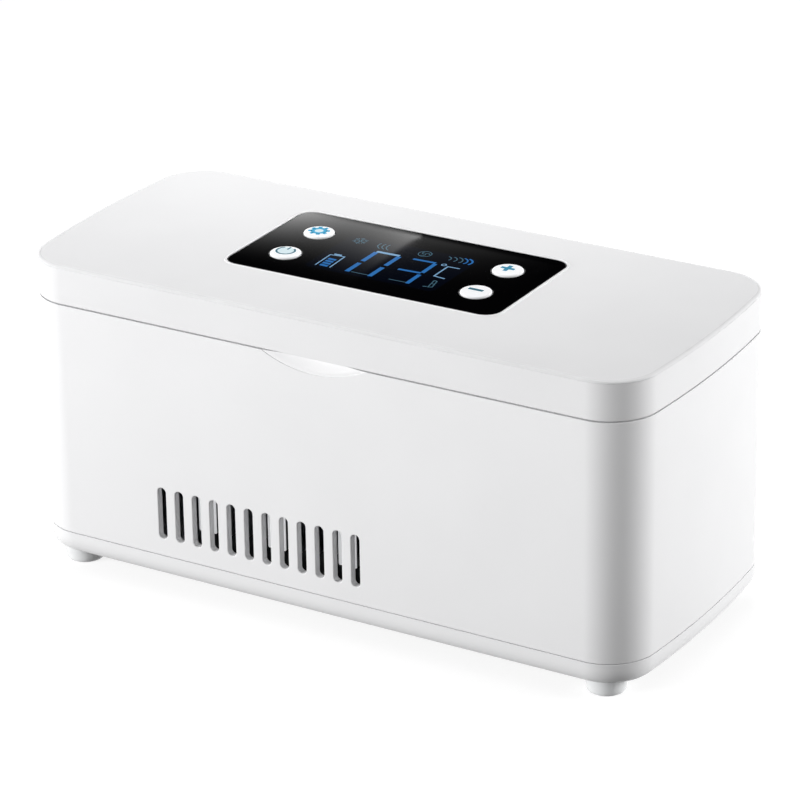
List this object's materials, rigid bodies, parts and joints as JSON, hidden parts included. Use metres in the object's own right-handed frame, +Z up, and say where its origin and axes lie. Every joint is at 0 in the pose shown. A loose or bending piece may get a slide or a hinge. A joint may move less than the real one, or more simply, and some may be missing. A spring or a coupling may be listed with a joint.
{
  "type": "insulin cooling case",
  "caption": "Portable electric cooling case: hinged lid with a flush control panel and display, vent slots, and a cold tray for medicine pens.",
  "frame": {"origin": "centre of the plan outline, on the plane that the four feet stand on", "axes": "+Z up; X along the long side, the front with the vent slots and the thumb scoop faces -Y, the lid hinge is at +Y"},
  "size_m": [0.205, 0.09, 0.0977],
  "materials": {
    "gloss_white_shell": "moulded ABS, glossy",
    "satin_white_lid": "moulded ABS, satin on top and glossy at the sides",
    "satin_white_liner": "moulded ABS, satin",
    "clear_foot": "translucent soft polymer, smooth",
    "chamber_aluminium": "drawn and extruded, satin",
    "insulation_foam": "closed-cell foam, fine grained",
    "ceramic_plate": "fired ceramic plates over a pellet core",
    "steel_fastener": "zinc or nickel plated",
    "black_fan_plastic": "moulded, fine matt",
    "cell_sleeve": "shrink sleeve",
    "circuit_board": "solder mask on glass laminate",
    "black_component": "moulded, fine matt",
    "grey_silicone": "moulded silicone, matt",
    "black_gloss_panel": "printed acrylic sheet, high gloss",
    "white_key": "moulded ABS, satin gloss"
  },
  "bodies": {
    "case": {"body_shell": "gloss_white_shell", "base_cover": "gloss_white_shell", "foot_front_left": "clear_foot", "foot_front_right": "clear_foot", "foot_back_left": "clear_foot", "foot_back_right": "clear_foot", "cold_chamber": "chamber_aluminium", "chamber_trim": "satin_white_liner", "chamber_insulation": "insulation_foam", "cold_block": "chamber_aluminium", "peltier_module": "ceramic_plate", "heat_sink": "chamber_aluminium", "clamp_screw_left": "steel_fastener", "clamp_screw_right": "steel_fastener", "fan_frame": "black_fan_plastic", "battery_tray": "satin_white_liner", "battery_cell_front": "cell_sleeve", "battery_cell_back": "cell_sleeve", "battery_tab_left": "steel_fastener", "battery_tab_right": "steel_fastener", "main_board": "circuit_board", "main_board_screw_left": "steel_fastener", "main_board_screw_right": "steel_fastener", "dc_jack": "black_component", "temperature_sensor": "steel_fastener", "body_magnet_left": "steel_fastener", "body_magnet_right": "steel_fastener", "hinge_pin_left": "steel_fastener", "hinge_pin_right": "steel_fastener", "base_screw_front_left": "steel_fastener", "base_screw_front_right": "steel_fastener", "base_screw_back_left": "steel_fastener", "base_screw_back_right": "steel_fastener", "fan_screw_front_left": "steel_fastener", "fan_screw_front_right": "steel_fastener", "fan_screw_back_left": "steel_fastener", "fan_screw_back_right": "steel_fastener"},
    "lid": {"lid_shell": "satin_white_lid", "lid_liner": "satin_white_liner", "lid_gasket": "grey_silicone", "lid_insulation": "insulation_foam", "lid_magnet_left": "steel_fastener", "lid_magnet_right": "steel_fastener", "control_panel": "black_gloss_panel", "display_module": "black_component", "display_board": "circuit_board", "lid_screw_front_left": "steel_fastener", "lid_screw_front_right": "steel_fastener", "lid_screw_back_left": "steel_fastener", "lid_screw_back_right": "steel_fastener", "display_screw_front_left": "steel_fastener", "display_screw_front_right": "steel_fastener", "display_screw_back_left": "steel_fastener", "display_screw_back_right": "steel_fastener"},
    "fan_rotor": {"fan_rotor": "black_fan_plastic"},
    "key_settings": {"key_settings": "white_key"},
    "key_power": {"key_power": "white_key"},
    "key_plus": {"key_plus": "white_key"},
    "key_minus": {"key_minus": "white_key"}
  },
  "joints": [
    {"name": "lid_hinge", "type": "hinge", "parent": "case", "child": "lid", "pos_m": [0, 0.0421, 0.0852], "axis": [-1, 0, 0], "range_deg": [0, 95]},
    {"name": "fan_spin", "type": "hinge", "parent": "case", "child": "fan_rotor", "pos_m": [-0.0204, 0, 0.013], "axis": [0, 0, 1], "continuous": true},
    {"name": "key_settings_press", "type": "slide", "parent": "lid", "child": "key_settings", "axis": [0, 0, -1], "range_m": [0, 0.0005], "stiffness_N_per_m": 300},
    {"name": "key_power_press", "type": "slide", "parent": "lid", "child": "key_power", "axis": [0, 0, -1], "range_m": [0, 0.0005], "stiffness_N_per_m": 300},
    {"name": "key_plus_press", "type": "slide", "parent": "lid", "child": "key_plus", "axis": [0, 0, -1], "range_m": [0, 0.0005], "stiffness_N_per_m": 300},
    {"name": "key_minus_press", "type": "slide", "parent": "lid", "child": "key_minus", "axis": [0, 0, -1], "range_m": [0, 0.0005], "stiffness_N_per_m": 300}
  ]
}
